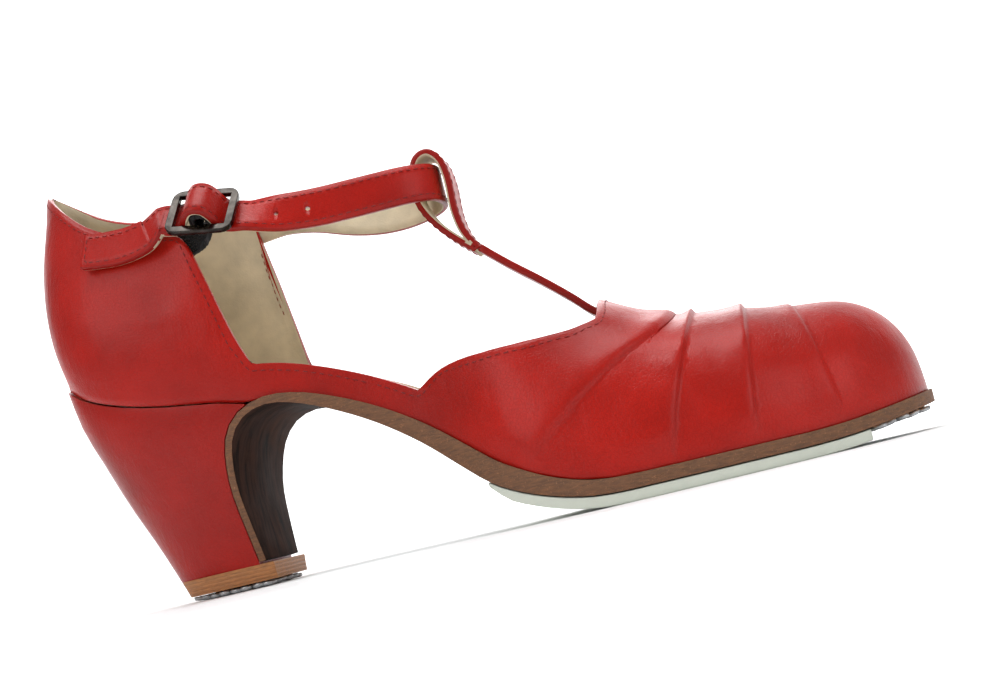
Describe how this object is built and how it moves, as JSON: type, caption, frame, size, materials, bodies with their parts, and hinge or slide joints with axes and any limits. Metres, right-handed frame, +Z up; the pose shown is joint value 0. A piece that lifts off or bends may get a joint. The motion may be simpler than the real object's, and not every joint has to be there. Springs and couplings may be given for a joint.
{
  "type": "flamenco shoe",
  "caption": "Heeled T-strap flamenco shoe in smooth leather with pleated vamp, ankle strap with buckle, curved waist, rubber half sole and nailed toe and heel",
  "frame": {"origin": "on the floor, at the middle of the shoe's length and width", "axes": "+X to the toe, +Y to the inner side of the right foot, +Z up"},
  "size_m": [0.2334, 0.0804, 0.1228],
  "materials": {
    "upper": "smooth glossy calf, fine creases",
    "insole": "matte lining leather",
    "outsole": "burnished waist, brown fibrous edge",
    "half_sole": "smooth off-white",
    "heel_cover": "smooth calf over the heel block",
    "heel_lift": "raw stacked leather edge",
    "nails": "worn matte nail heads",
    "strap": "smooth glossy calf with lining behind",
    "buckle": "dark gunmetal, polished",
    "elastic": "ribbed black elastic"
  },
  "bodies": {
    "root": {"upper": "upper", "insole": "insole", "outsole": "outsole", "half_sole": "half_sole", "heel_block": "heel_cover", "heel_lift": "heel_lift", "heel_nails": "nails", "toe_nails": "nails", "ankle_strap": "strap", "t_bar": "strap", "buckle": "buckle", "elastic_tab": "elastic"}
  },
  "joints": []
}
